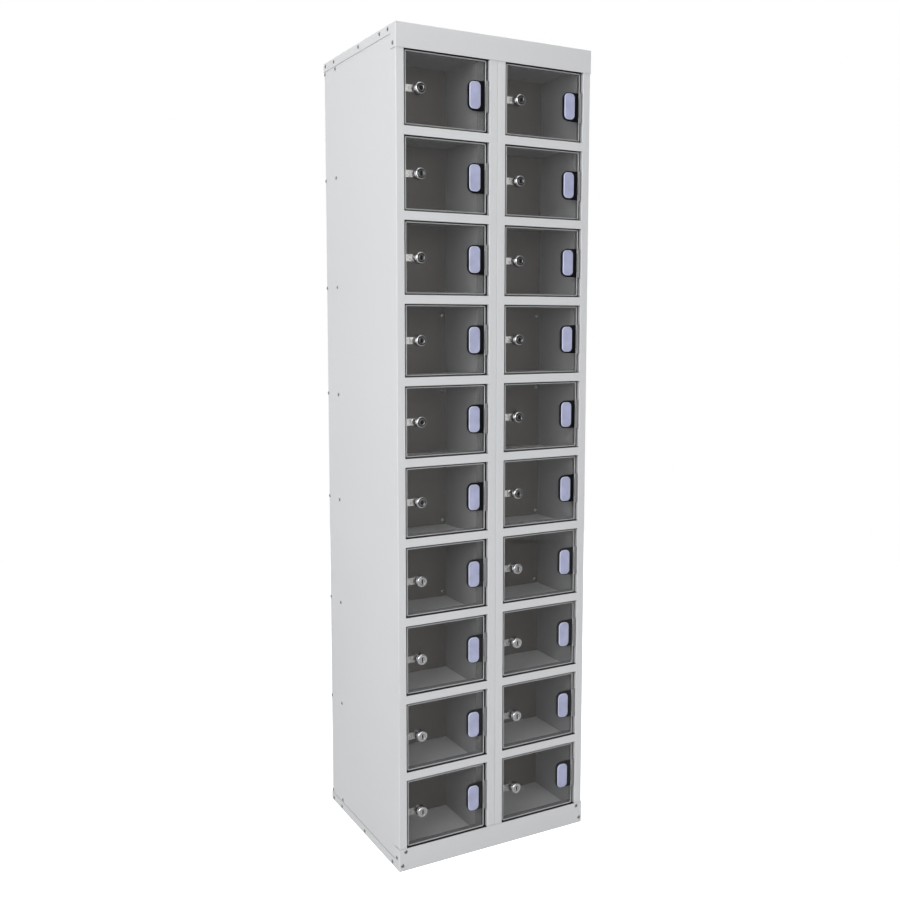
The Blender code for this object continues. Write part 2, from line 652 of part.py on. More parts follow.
def leads():
    low, high = supply_box()
    gap = CLEARANCE
    inlet_x = -CARCASS_HALF + INLET_FROM_LEFT
    inlet_y = y_at(REAR - INLET_BODY[2]) - gap
    supply_y = (low[1] + high[1]) / 2
    lead("inlet_lead", [
        (inlet_x, inlet_y, INLET_HEIGHT),
        (inlet_x, inlet_y - LEAD_STUB, INLET_HEIGHT),
        (inlet_x, inlet_y - 2 * LEAD_STUB, INLET_HEIGHT),
        (inlet_x + 0.018, inlet_y - 0.045, INLET_HEIGHT - 0.018),
        (low[0] - 3 * LEAD_STUB, supply_y + 0.004, low[2] + 0.031),
        (low[0] - gap - LEAD_STUB, supply_y, low[2] + 0.030),
        (low[0] - gap, supply_y, low[2] + 0.030),
    ])
    for column, name in zip(COLUMNS, ("rail_lead_left", "rail_lead_right")):
        x = nest_walls(column)[0] + SOCKET_FROM_WALL
        y = y_at(NEST_DEPTH + NEST_SHEET + CLEARANCE + RAIL_BODY[1]) + gap
        start_x = low[0] + 0.060 + 0.120 * COLUMNS.index(column)
        z = high[2] + 0.060
        lead(name, [
            (start_x, supply_y, high[2] + gap),
            (start_x, supply_y, high[2] + gap + LEAD_STUB),
            (start_x, supply_y, high[2] + gap + 2 * LEAD_STUB),
            ((start_x + x) / 2, (supply_y + y) / 2 + 0.010, z),
            (x, y + 2 * LEAD_STUB, z + 0.012),
            (x, y + LEAD_STUB, z + 0.012),
            (x, y, z + 0.012),
        ])


clear_scene()
LOCKER = new_collection("phone_charging_locker")
TOOLS = new_collection("cutters")

tray("top_cap", upside_down=False)
tray("base_tray", upside_down=True)
side_panel("side_panel_left", -1)
side_panel("side_panel_right", 1)
for side in COLUMNS:
    front_frame(side)
    compartment_nest(side)
    charging_rail(side)
rear_panels()
doors()
service_shelf()
power_supply()
mains_inlet()
leads()
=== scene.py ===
"""Looks of the phone charging locker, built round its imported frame. Metres, +Z up, front -Y."""
import math

import bmesh
import bpy
from mathutils import Matrix, Vector


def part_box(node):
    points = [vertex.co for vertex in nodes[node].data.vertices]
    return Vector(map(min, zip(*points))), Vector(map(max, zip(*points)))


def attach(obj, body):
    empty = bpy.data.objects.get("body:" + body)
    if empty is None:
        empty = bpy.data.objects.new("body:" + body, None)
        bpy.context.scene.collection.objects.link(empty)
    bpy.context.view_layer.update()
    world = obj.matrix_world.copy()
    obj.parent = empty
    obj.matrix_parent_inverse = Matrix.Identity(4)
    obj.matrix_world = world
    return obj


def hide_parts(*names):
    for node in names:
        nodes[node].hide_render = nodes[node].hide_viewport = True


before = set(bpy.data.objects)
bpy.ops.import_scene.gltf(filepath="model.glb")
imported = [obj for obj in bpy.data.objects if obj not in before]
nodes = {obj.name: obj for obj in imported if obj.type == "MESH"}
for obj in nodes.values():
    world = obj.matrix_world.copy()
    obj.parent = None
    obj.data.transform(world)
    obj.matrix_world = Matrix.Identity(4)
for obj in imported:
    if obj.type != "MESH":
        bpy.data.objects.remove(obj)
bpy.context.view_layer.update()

# ---- cap and base trays ------------------------------------------------------------------------
# Two trays of 1 mm mild steel, bent on a press brake: a deep front that wraps round the corners,
# then a low lip along the sides and back. Powder coated pale grey, with a faint orange peel.
TRAY_SHEET = 0.001
TRAY_BEND = 0.0016
FASCIA_RETURN = 0.025
TRAY_LIP = 0.0195
PALE_GREY = (0.62, 0.627, 0.64)


def add(tree, kind, inputs, **settings):
    """A shader node; inputs are sockets to link or plain values."""
    node = tree.nodes.new(kind)
    for name, value in settings.items():
        setattr(node, name, value)
    for name, value in inputs.items():
        if isinstance(value, bpy.types.NodeSocket):
            tree.links.new(value, node.inputs[name])
        else:
            node.inputs[name].default_value = value
    return node


def shader_group(name, inputs, outputs):
    group = bpy.data.node_groups.new(name, "ShaderNodeTree")
    for direction, sockets in (("INPUT", inputs), ("OUTPUT", outputs)):
        for label, kind in sockets:
            group.interface.new_socket(name=label, in_out=direction, socket_type="NodeSocket" + kind)
    start = group.nodes.new("NodeGroupInput")
    end = group.nodes.new("NodeGroupOutput")
    return group, start.outputs, end.inputs


def ranged(tree, value, low, high, onto_low, onto_high):
    """Value's stretch from low to high mapped onto another, held at its ends."""
    settings = {"Value": value, "From Min": low, "From Max": high, "To Min": onto_low, "To Max": onto_high}
    return add(tree, "ShaderNodeMapRange", settings).outputs["Result"]


def noise(tree, where, scale, detail):
    return add(tree, "ShaderNodeTexNoise",
               {"Vector": where, "Scale": scale, "Detail": detail}).outputs["Fac"]


def scaled(tree, colour, factor):
    return add(tree, "ShaderNodeVectorMath", {0: colour, "Scale": factor},
               operation="SCALE").outputs["Vector"]


def maths(tree, operation, first, second):
    return add(tree, "ShaderNodeMath", {0: first, 1: second}, operation=operation).outputs["Value"]


def powder_coat_group():
    """Baked powder: slow drift in shade, tiny specks, and an orange-peel height."""
    group, given, out = shader_group(
        "powder_coat",
        [("Vector", "Vector"), ("Colour", "Color"), ("Roughness", "Float"), ("Drift", "Float")],
        [("Colour", "Color"), ("Roughness", "Float"), ("Height", "Float")])
    drift = noise(group, given["Vector"], 3.0, 2.0)
    speck = noise(group, given["Vector"], 700.0, 1.0)
    peel = noise(group, given["Vector"], 420.0, 2.0)
    swing = maths(group, "MULTIPLY", maths(group, "SUBTRACT", drift, 0.5), given["Drift"])
    shade = maths(group, "ADD", maths(group, "ADD", swing, 1.0),
                  ranged(group, speck, 0.3, 0.7, -0.012, 0.012))
    group.links.new(scaled(group, given["Colour"], shade), out["Colour"])
    group.links.new(maths(group, "ADD", given["Roughness"], ranged(group, drift, 0.3, 0.7, -0.04, 0.04)),
                    out["Roughness"])
    group.links.new(maths(group, "ADD", peel, maths(group, "MULTIPLY", speck, 0.35)), out["Height"])
    return group


def material(name):
    made = bpy.data.materials.new(name)
    made.use_nodes = True
    tree = made.node_tree
    return made, tree, tree.nodes["Principled BSDF"], tree.nodes.new("ShaderNodeTexCoord").outputs["Object"]


def surfaced(name, group, values, relief, **constants):
    """A material whose colour, roughness and relief come from a group; relief is its height in metres."""
    made, tree, shader, where = material(name)
    look = add(tree, "ShaderNodeGroup", {}, node_tree=group)
    tree.links.new(where, look.inputs["Vector"])
    for label, value in values.items():
        look.inputs[label].default_value = value
    tree.links.new(look.outputs["Colour"], shader.inputs["Base Color"])
    tree.links.new(look.outputs["Roughness"], shader.inputs["Roughness"])
    bump = add(tree, "ShaderNodeBump",
               {"Height": look.outputs["Height"], "Distance": relief, "Strength": 1.0})
    tree.links.new(bump.outputs["Normal"], shader.inputs["Normal"])
    for label, value in constants.items():
        shader.inputs[label.replace("_", " ")].default_value = value
    return made


def finish_piece(name, bm, finishes, body, slot, *stands_for, sharp=38, sheet=None):
    """A bmesh made a piece with crisp folds and flat faces; sheet is a metal's thickness, laid inward."""
    mesh = bpy.data.meshes.new(name)
    bm.to_mesh(mesh)
    bm.free()
    for finish in finishes:
        mesh.materials.append(finish)
    mesh.shade_smooth()
    mesh.set_sharp_from_angle(angle=math.radians(sharp))
    piece = bpy.data.objects.new(name, mesh)
    bpy.context.scene.collection.objects.link(piece)
    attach(piece, body)
    if stands_for:
        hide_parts(*stands_for)
    if sheet:
        wall = piece.modifiers.new("sheet", "SOLIDIFY")
        wall.thickness = sheet
        wall.offset = -1.0
        wall.use_even_offset = True
    piece.modifiers.new("normals", "WEIGHTED_NORMAL").keep_sharp = True


def rounded(bm, edges, radius, segments):
    return bmesh.ops.bevel(bm, geom=edges, offset=radius, segments=segments, profile=0.5,
                           affect="EDGES", material=-1)["faces"]


def everything(bm):
    return bm.verts[:] + bm.edges[:] + bm.faces[:]


def block(bm, low, high):
    """A box between two corners, added to the bmesh."""
    low, high = Vector(low), Vector(high)
    size = Matrix.Diagonal((*(high - low), 1.0))
    return bmesh.ops.create_cube(bm, size=1.0, matrix=Matrix.Translation((low + high) / 2) @ size)["verts"]


POWDER = powder_coat_group()
pale_coat = surfaced("pale_powder_coat", POWDER,
                     {"Colour": (*PALE_GREY, 1.0), "Roughness": 0.42, "Drift": 0.05},
                     0.00003)


def folded_tray(node, upside_down):
    low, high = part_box(node)
    bm = bmesh.new()
    block(bm, low, high)
    bmesh.ops.delete(bm, geom=[f for f in bm.faces if f.normal.z < -0.5], context="FACES")
    bends = [e for e in bm.edges if not e.is_boundary]
    rounded(bm, bends, TRAY_BEND, 3)
    lip = high.z - TRAY_LIP
    wrap = low.y + FASCIA_RETURN
    bmesh.ops.bisect_plane(bm, geom=everything(bm), plane_co=(0, 0, lip), plane_no=(0, 0, 1))
    bmesh.ops.bisect_plane(bm, geom=everything(bm), plane_co=(0, wrap, 0), plane_no=(0, 1, 0))
    spare = [f for f in bm.faces if f.calc_center_median().z < lip and f.calc_center_median().y > wrap]
    bmesh.ops.delete(bm, geom=spare, context="FACES")
    if upside_down:
        over = Matrix.Translation((0, 0, low.z + high.z)) @ Matrix.Diagonal((1, 1, -1, 1))
        bmesh.ops.transform(bm, matrix=over, verts=bm.verts)
        bmesh.ops.reverse_faces(bm, faces=bm.faces)
    finish_piece(node, bm, [pale_coat], "root", "painted_steel", node, sheet=TRAY_SHEET)


folded_tray("top_cap", upside_down=False)
folded_tray("base_tray", upside_down=True)

# ---- side panels -------------------------------------------------------------------------------
# One 1.2 mm sheet each side, bent to a flange behind the door frame and another for the rear
# panel. The same pale coat.
PANEL_SHEET = 0.0012
PANEL_BEND = 0.002
PANEL_FLANGES = (0.012, 0.020)


def bent_line(bm, points, radius, segments):
    """An open line in plan with its inner corners rounded."""
    line = [bm.verts.new(point) for point in points]
    for pair in zip(line, line[1:]):
        bm.edges.new(pair)
    bmesh.ops.bevel(bm, geom=line[1:-1], offset=radius, segments=segments, profile=0.5,
                    affect="VERTICES", material=-1)


def raised(bm, height):
    """Edges in plan drawn up into a sheet."""
    grown = bmesh.ops.extrude_edge_only(bm, edges=bm.edges[:])["geom"]
    top = [item for item in grown if isinstance(item, bmesh.types.BMVert)]
    bmesh.ops.translate(bm, verts=top, vec=(0, 0, height))


def side_panel(node, side):
    low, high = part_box(node)
    face = side * high.x if side > 0 else low.x
    bm = bmesh.new()
    bent_line(bm, [(face - side * PANEL_FLANGES[0], low.y, low.z), (face, low.y, low.z),
                   (face, high.y, low.z), (face - side * PANEL_FLANGES[1], high.y, low.z)], PANEL_BEND, 3)
    raised(bm, high.z - low.z)
    outward = [f for f in bm.faces if abs(f.normal.x) > 0.9]
    if outward[0].normal.x * side < 0:
        bmesh.ops.reverse_faces(bm, faces=bm.faces)
    finish_piece(node, bm, [pale_coat], "root", "painted_steel", node, sheet=PANEL_SHEET)


side_panel("side_panel_left", -1)
side_panel("side_panel_right", 1)

# ---- door frames -------------------------------------------------------------------------------
# Each column's front is one 1.5 mm sheet, cut to a ladder and pressed so that every opening has
# an edge turned in 9 mm, coloured near-black on three sides as painted shade for the narrow gap
# round each pane. The outer edges keep the soft shoulder that the press leaves.
COLUMNS = {"L": "left", "R": "right"}
ROWS = range(1, 11)
FRAME_SHEET = 0.0015
FRAME_RETURN = 0.009
FRAME_SHOULDER = 0.0012
PANE_GAP = 0.0028
KNUCKLE_RADIUS = 0.0031
PIN_TO_JAMB = 0.004
TAGS = [f"{column}{row:02d}" for column in COLUMNS for row in ROWS]


def opening(tag):
    """Low and high corners of a door opening, in X and Z, from the closed door's box."""
    low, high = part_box("door_" + tag)
    return (low.x - PANE_GAP, low.z - PANE_GAP), (high.x - KNUCKLE_RADIUS + PIN_TO_JAMB, high.z + PANE_GAP)


def cut_across(bm, axis, places):
    for place in places:
        bmesh.ops.bisect_plane(bm, geom=everything(bm), plane_co=[place * n for n in axis], plane_no=axis)


def ladder(low, high, holes, sheet, turned_in):
    """A sheet with its front at low.y, pierced by holes whose edges are turned in; None leaves them plain."""
    bm = bmesh.new()
    bm.faces.new([bm.verts.new((x, low.y, z)) for x, z in
                  ((low.x, low.z), (high.x, low.z), (high.x, high.z), (low.x, high.z))])
    margin = sheet if turned_in else 0.0
    (left, _), (right, _) = holes[0]
    cut_across(bm, (1, 0, 0), sorted({left - margin, left, right, right + margin}))
    for (_, bottom), (_, top) in holes:
        cut_across(bm, (0, 0, 1), sorted({bottom - margin, bottom, top, top + margin}))

    def inside(face, spare):
        middle = face.calc_center_median()
        return any(a[0] - spare < middle.x < b[0] + spare and a[1] - spare < middle.z < b[1] + spare
                   for a, b in holes)

    bmesh.ops.delete(bm, geom=[f for f in bm.faces if inside(f, 0.0)], context="FACES")
    deepened(bm, bm.faces[:], sheet)
    if turned_in:
        rear = [f for f in bm.faces if inside(f, margin)
                and abs(f.calc_center_median().y - low.y - sheet) < 1e-5]
        deepened(bm, rear, turned_in - sheet)
        bmesh.ops.delete(bm, geom=rear, context="FACES")
        # Turned-in faces, except those facing -X, take the second finish: near-black painted shade for the
        # gap round each pane.
        for face in bm.faces:
            deep = face.calc_center_median().y > low.y + sheet / 2 and inside(face, margin / 2)
            face.material_index = int(deep and face.normal.x > -0.5)
    return bm


def deepened(bm, faces, depth):
    """Faces pushed back into a solid."""
    grown = bmesh.ops.extrude_face_region(bm, geom=faces)["geom"]
    bmesh.ops.translate(bm, verts=[v for v in grown if isinstance(v, bmesh.types.BMVert)], vec=(0, depth, 0))
    bmesh.ops.recalc_face_normals(bm, faces=bm.faces)


def front_edges(bm, y):
    """Edges where a flat front at y turns away."""
    return [e for e in bm.edges if all(abs(v.co.y - y) < 1e-6 for v in e.verts)
            and any(abs(f.normal.y) < 0.5 for f in e.link_faces)]


# Near-black painted shade for the narrow gaps round the panes and the slit beside the left column's hinges.
gap_shade_black = surfaced("edge_gap_shade_black", POWDER,
                      {"Colour": (0.012, 0.012, 0.013, 1.0), "Roughness": 0.6, "Drift": 0.05},
                      0.00002)
for column, side in COLUMNS.items():
    node = "front_frame_" + side
    low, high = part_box(node)
    pressed = ladder(low, high, [opening(tag) for tag in TAGS if tag[0] == column], FRAME_SHEET,
                     FRAME_RETURN)
    rounded(pressed, front_edges(pressed, low.y), FRAME_SHOULDER, 3)
    finish_piece(node, pressed, [pale_coat, gap_shade_black], "root", "painted_steel", node)

# ---- hinges ------------------------------------------------------------------------------------
# Each door turns on a steel pin through three knuckles: two welded to the frame's turned-in edge
# and one on the door. The knuckles are zinc plated and coated a satin light grey.
HINGE_HEIGHT = 0.065
HINGE_MIDDLE = 0.041
HINGE_SLOT = 0.0004
KNUCKLE_BORE = 0.0017
KNUCKLE_CHAMFER = 0.0003
PIN_RADIUS = 0.0013
PIN_BACK = 0.00425
WEB_STEP = 0.0005
HINGE_GREY = (0.19, 0.19, 0.195)
FACE_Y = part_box("front_frame_left")[0].y


def metal_group():
    """Plated metal: drifting tone, hazy finger marks and hair-fine scratches."""
    group, given, out = shader_group(
        "plated_metal",
        [("Vector", "Vector"), ("Colour", "Color"), ("Roughness", "Float"), ("Haze", "Float")],
        [("Colour", "Color"), ("Roughness", "Float"), ("Height", "Float")])
    haze = noise(group, given["Vector"], 160.0, 3.0)
    stretched = add(group, "ShaderNodeVectorMath", {0: given["Vector"], 1: (300.0, 2600.0, 2600.0)},
                    operation="MULTIPLY").outputs["Vector"]
    hair = noise(group, stretched, 1.0, 1.0)
    group.links.new(scaled(group, given["Colour"], ranged(group, haze, 0.3, 0.7, 0.94, 1.04)), out["Colour"])
    spread = maths(group, "MULTIPLY", ranged(group, haze, 0.35, 0.75, 0.0, 1.0), given["Haze"])
    group.links.new(maths(group, "ADD", given["Roughness"], spread), out["Roughness"])
    group.links.new(hair, out["Height"])
    return group


PLATED = metal_group()
hinge_coat = surfaced("hinge_grey_coat", POWDER,
                      {"Colour": (*HINGE_GREY, 1.0), "Roughness": 0.36, "Drift": 0.04},
                      0.00002)
bright_steel = surfaced("bright_steel", PLATED,
                        {"Colour": (0.62, 0.61, 0.59, 1.0), "Roughness": 0.24, "Haze": 0.10},
                        0.000004, Metallic=1.0)


def turned(name, profile, steps, closed):
    """A half profile of (radius, height) spun round Z; a closed one is a ring."""
    bm = bmesh.new()
    points = [bm.verts.new((radius, 0, height)) for radius, height in profile]
    rounds = points + points[:1] if closed else points
    for pair in zip(rounds, rounds[1:]):
        bm.edges.new(pair)
    bmesh.ops.spin(bm, geom=bm.verts[:] + bm.edges[:], cent=(0, 0, 0), axis=(0, 0, 1), dvec=(0, 0, 0),
                   angle=math.tau, steps=steps, use_merge=True, use_duplicate=False)
    bmesh.ops.remove_doubles(bm, verts=bm.verts, dist=1e-6)
    bmesh.ops.recalc_face_normals(bm, faces=bm.faces)
    return to_shape(name, bm)


def to_shape(name, bm):
    shape = bpy.data.meshes.new(name + "_shape")
    bm.to_mesh(shape)
    bm.free()
    return shape


def stamp(bm, shape, matrix):
    """Adds a copy of a shape to the bmesh at a place."""
    copy = shape.copy()
    copy.transform(matrix)
    bm.from_mesh(copy)
    bpy.data.meshes.remove(copy)


def knuckle_shape(name, length):
    half, edge, cut = length / 2, KNUCKLE_RADIUS, KNUCKLE_CHAMFER
    return turned(name, [(KNUCKLE_BORE, -half), (edge - cut, -half), (edge, cut - half), (edge, half - cut),
                         (edge - cut, half), (KNUCKLE_BORE, half)], 20, closed=True)


def pin_place(tag):
    low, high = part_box("door_" + tag)
    return Vector((high.x - KNUCKLE_RADIUS, FACE_Y + PIN_BACK, (low.z + high.z) / 2))


def soft_block(bm, low, high, radius):
    verts = block(bm, low, high)
    rounded(bm, list({e for v in verts for e in v.link_edges}), radius, 2)


outer_length = (HINGE_HEIGHT - HINGE_MIDDLE) / 2 - HINGE_SLOT
outer_middle = (HINGE_HEIGHT - outer_length) / 2
outer_knuckle = knuckle_shape("outer_knuckle", outer_length)
pin_half = HINGE_HEIGHT / 2 - 0.001
hinge_pin = turned("hinge_pin",
                   [(0, -pin_half), (PIN_RADIUS - 0.0004, -pin_half), (PIN_RADIUS, 0.0004 - pin_half),
                                 (PIN_RADIUS, pin_half - 0.0004), (PIN_RADIUS - 0.0004, pin_half),
                    (0, pin_half)],
                   12, closed=False)
for column, side in COLUMNS.items():
    knuckles, pins = bmesh.new(), bmesh.new()
    for tag in TAGS:
        if tag[0] != column:
            continue
        pin = pin_place(tag)
        stamp(pins, hinge_pin, Matrix.Translation(pin))
        for way in (-1, 1):
            middle = pin + Vector((0, 0, way * outer_middle))
            stamp(knuckles, outer_knuckle, Matrix.Translation(middle))
            reach = Vector((PIN_TO_JAMB + FRAME_SHEET / 2, FRAME_SHEET / 2, outer_length / 2 - WEB_STEP))
            near = middle + Vector((KNUCKLE_BORE + 0.0004, -reach.y, -reach.z))
            soft_block(knuckles, near, middle + reach, 0.0002)
    finish_piece(f"fixed_knuckles_{side}", knuckles, [hinge_coat], "root", "painted_steel",
                 f"front_frame_{side}")
    finish_piece(f"hinge_pins_{side}", pins, [bright_steel], "root", "lock_metal")

# ---- compartments ------------------------------------------------------------------------------
# Ten welded boxes to a column, in a darker matt grey powder. Small pan screws in the rear
# corners hold the charging rail's brackets.
INNER_GREY = (0.215, 0.215, 0.218)
FLOOR_LIT_GREY = (0.52, 0.52, 0.52)
NEST_SHEET = 0.001
NEST_INSET = {"L": (0.0095, 0.0225), "R": (0.0095, 0.0070)}
SHELF_OVER_OPENING = 0.007
SHELF_UNDER_OPENING = 0.011
SCREW_FROM_WALL = 0.009
SCREW_UNDER_CEILING = 0.030
SCREW_OVER_FLOOR = 0.010
SCREW_RADIUS = 0.0034
SCREWED_ROWS = ("04", "05", "06", "07")
NEST_BEND = 0.0016
BORDER_BOTTOM = 0.0065
BORDER_TOP = 0.0045
REAR_SHADE_GREY = (0.066, 0.056, 0.048)
FRONT_SHADE_GREY = (0.085, 0.085, 0.085)

inner_coat = surfaced("inner_powder_coat", POWDER,
                      {"Colour": (*INNER_GREY, 1.0), "Roughness": 0.5, "Drift": 0.10},
                      0.00003)
# Painted shade: the rear walls are the same powder as the sides, coloured darker and warmer to stand in for
# the shade at the back of each box.
rear_wall_shade_coat = surfaced("rear_wall_painted_shade", POWDER,
                     {"Colour": (*REAR_SHADE_GREY, 1.0), "Roughness": 0.55, "Drift": 0.10},
                     0.00003)
# Painted light: the shelves' upper faces are the same powder, coloured much lighter to stand in for the light
# falling on each compartment's floor.
shelf_top_lit_coat = surfaced("shelf_top_painted_light", POWDER,
                      {"Colour": (*FLOOR_LIT_GREY, 1.0), "Roughness": 0.5, "Drift": 0.10},
                      0.00003)
# Painted shade: the front plates are coloured darker than the walls so their forward faces read as dark as
# the shaded walls beside them.
front_plate_shade_coat = surfaced("front_plate_painted_shade", POWDER,
                      {"Colour": (*FRONT_SHADE_GREY, 1.0), "Roughness": 0.6, "Drift": 0.08},
                      0.00003)
# Near-black painted shade for recesses: screw cross slots, the keyways and the hollows of the rivets.
recess_shade_black = surfaced("slot_shadow", POWDER,
                      {"Colour": (0.02, 0.02, 0.02, 1.0), "Roughness": 0.6, "Drift": 0.05},
                      0.00001)


def facing(place, outward):
    """Puts a shape's Z axis along outward, at a place."""
    turn = Vector((0, 0, 1)).rotation_difference(Vector(outward)).to_matrix().to_4x4()
    return Matrix.Translation(place) @ turn


def pan_screw(radius, height):
    """A pan head with a cross recess."""
    profile = [(0, -0.0002), (radius, -0.0002), (radius, height * 0.45), (radius * 0.86, height * 0.8),
               (radius * 0.6, height), (0, height)]
    shape = turned("pan_screw", profile, 12, closed=False)
    bm = bmesh.new()
    bm.from_mesh(shape)
    for turn in (0, math.pi / 2):
        arm = block(bm, (-radius * 0.55, -radius * 0.11, height * 0.5),
                    (radius * 0.55, radius * 0.11, height * 1.02))
        bmesh.ops.rotate(bm, verts=arm, cent=(0, 0, 0), matrix=Matrix.Rotation(turn, 3, "Z"))
        # The cross recess takes the second finish, near-black painted shade.
        for face in {f for v in arm for f in v.link_faces}:
            face.material_index = 1
    return to_shape("pan_screw_crossed", bm)


def compartment(tag):
    """Inner left, right, floor, ceiling and rear of a compartment."""
    (left, bottom), (right, top) = opening(tag)
    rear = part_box("compartment_nest_" + COLUMNS[tag[0]])[1].y - NEST_SHEET
    inset = NEST_INSET[tag[0]]
    return left + inset[0], right - inset[1], bottom - SHELF_UNDER_OPENING, top + SHELF_OVER_OPENING, rear


small_screw = pan_screw(SCREW_RADIUS, 0.0018)
for column, side in COLUMNS.items():
    node = "compartment_nest_" + side
    low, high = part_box(node)
    tags = [tag for tag in TAGS if tag[0] == column]
    left, right, _, _, rear = compartment(tags[0])
    shell = bmesh.new()
    inner_y = low.y + NEST_SHEET
    bent_line(shell, [(left - NEST_SHEET, inner_y, low.z), (left - NEST_SHEET, high.y, low.z),
                      (right + NEST_SHEET, high.y, low.z), (right + NEST_SHEET, inner_y, low.z)], NEST_BEND,
              3)
    raised(shell, high.z - low.z)
    if max(shell.faces, key=lambda f: f.calc_center_median().y).normal.y < 0:
        bmesh.ops.reverse_faces(shell, faces=shell.faces)
    # The rear wall's faces take the darker, warmer rear-wall painted shade.
    for face in shell.faces:
        face.material_index = int(face.normal.y > 0.9)
    finish_piece("compartment_walls_" + side, shell, [inner_coat, rear_wall_shade_coat], "root", "inner_steel", node,
                 sheet=NEST_SHEET)

    shelves, screws, windows = bmesh.new(), bmesh.new(), []
    for tag in tags:
        _, _, floor, ceiling, _ = compartment(tag)
        soft_block(shelves, (left, inner_y, floor - NEST_SHEET), (right, rear, floor), 0.0002)
        (_, bottom), (_, top) = opening(tag)
        windows.append(((left, bottom + BORDER_BOTTOM), (right, top - BORDER_TOP)))
        if tag[1:] in SCREWED_ROWS:
            z = ceiling - SCREW_UNDER_CEILING if tag[1:] in SCREWED_ROWS[:2] else floor + SCREW_OVER_FLOOR
            for x in (left + SCREW_FROM_WALL, right - SCREW_FROM_WALL):
                stamp(screws, small_screw, facing((x, rear, z), (0, -1, 0)))
    soft_block(shelves, (left, inner_y, high.z - NEST_SHEET), (right, rear, high.z), 0.0002)
    # Upward faces take the lighter shelf-top painted light.
    for face in shelves.faces:
        face.material_index = int(face.normal.z > 0.9)
    finish_piece("compartment_shelves_" + side, shelves, [inner_coat, shelf_top_lit_coat], "root", "inner_steel",
                 node)
    finish_piece("compartment_screws_" + side, screws, [bright_steel, recess_shade_black], "root", "lock_metal")
    plate = ladder(low, high, windows, NEST_SHEET, None)
    rounded(plate, front_edges(plate, low.y), 0.0004, 2)
    # The plates carry the darker front-plate painted shade.
    finish_piece("compartment_fronts_" + side, plate, [front_plate_shade_coat], "root", "inner_steel", node)

# A near-black strip behind the left column's plate fills the slit beside its doors' hinges, as
# painted shade for the dark gap there.
STRIP = (0.022, 0.002)
STRIP_GAP = 0.0003
STRIP_EDGE = 0.0004
plate_low, plate_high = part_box("compartment_nest_left")
strip = bmesh.new()
strip_y = plate_low.y + NEST_SHEET + STRIP_GAP
soft_block(strip, (plate_high.x - STRIP[0] / 2, strip_y, plate_low.z),
           (plate_high.x + STRIP[0] / 2, strip_y + STRIP[1], plate_high.z), STRIP_EDGE)
finish_piece("hinge_slit_shade_strip", strip, [gap_shade_black], "root", "black_plastic")

# ---- charging rails ----------------------------------------------------------------------------
# A moulded black housing up the back of each column, with a nose through every rear wall. Each
# nose has two charging sockets with a plated shell.
SOCKET_FROM_WALL = 0.030
SOCKET_OVER_FLOOR = 0.034
SOCKET_NOSE = (0.034, 0.020)
SOCKET_PROUD = 0.003
SOCKET_MOUTH = (0.0125, 0.0052)
SOCKET_SPREAD = 0.0078
SOCKET_DEPTH = 0.006
MOULDED_BLACK = (0.016, 0.016, 0.018)


def moulded_group():
    """Moulded plastic: spark-eroded grain and slight sheen changes where the melt met."""
    group, given, out = shader_group(
        "moulded_plastic",
        [("Vector", "Vector"), ("Colour", "Color"), ("Roughness", "Float"), ("Grain", "Float")],
        [("Colour", "Color"), ("Roughness", "Float"), ("Height", "Float")])
    flow = noise(group, given["Vector"], 45.0, 2.0)
    grain = add(group, "ShaderNodeTexVoronoi", {"Vector": given["Vector"], "Scale": given["Grain"]},
                feature="SMOOTH_F1").outputs["Distance"]
    group.links.new(scaled(group, given["Colour"], ranged(group, flow, 0.3, 0.7, 0.90, 1.08)), out["Colour"])
    group.links.new(maths(group, "ADD", given["Roughness"], ranged(group, flow, 0.3, 0.7, -0.05, 0.06)),
                    out["Roughness"])
    group.links.new(grain, out["Height"])
    return group


MOULDED = moulded_group()
rail_black = surfaced("rail_black_plastic", MOULDED,
                      {"Colour": (*MOULDED_BLACK, 1.0), "Roughness": 0.5, "Grain": 1500.0}, 0.00002)


def sink(bm, faces, depth, finish):
    """Pushes faces in along their normals to make pockets lined with another finish."""
    for face in faces:
        inward = -face.normal * depth
        walls = bmesh.ops.extrude_face_region(bm, geom=[face])["geom"]
        verts = [item for item in walls if isinstance(item, bmesh.types.BMVert)]
        bmesh.ops.translate(bm, verts=verts, vec=inward)
        bmesh.ops.delete(bm, geom=[face], context="FACES")
        for near in {f for v in verts for f in v.link_faces}:
            near.material_index = finish


def socket_nose(low, high):
    bm = bmesh.new()
    verts = block(bm, low, high)
    middle = (Vector(low) + Vector(high)) / 2
    lips = [e for v in verts for e in v.link_edges if all(abs(u.co.y - low[1]) < 1e-6 for u in e.verts)]
    rounded(bm, list(set(lips)), 0.0012, 2)
    half_wide, half_tall = SOCKET_MOUTH[0] / 2, SOCKET_MOUTH[1] / 2
    cut_across(bm, (1, 0, 0),
               [middle.x + way * SOCKET_SPREAD + end * half_wide for way in (-1, 1) for end in (-1, 1)])
    cut_across(bm, (0, 0, 1), [middle.z - half_tall, middle.z + half_tall])
    mouths = [f for f in bm.faces if f.normal.y < -0.9
              and abs(f.calc_center_median().z - middle.z) < half_tall
              and abs(abs(f.calc_center_median().x - middle.x) - SOCKET_SPREAD) < half_wide / 2]
    sink(bm, mouths, SOCKET_DEPTH, 1)
    return bm


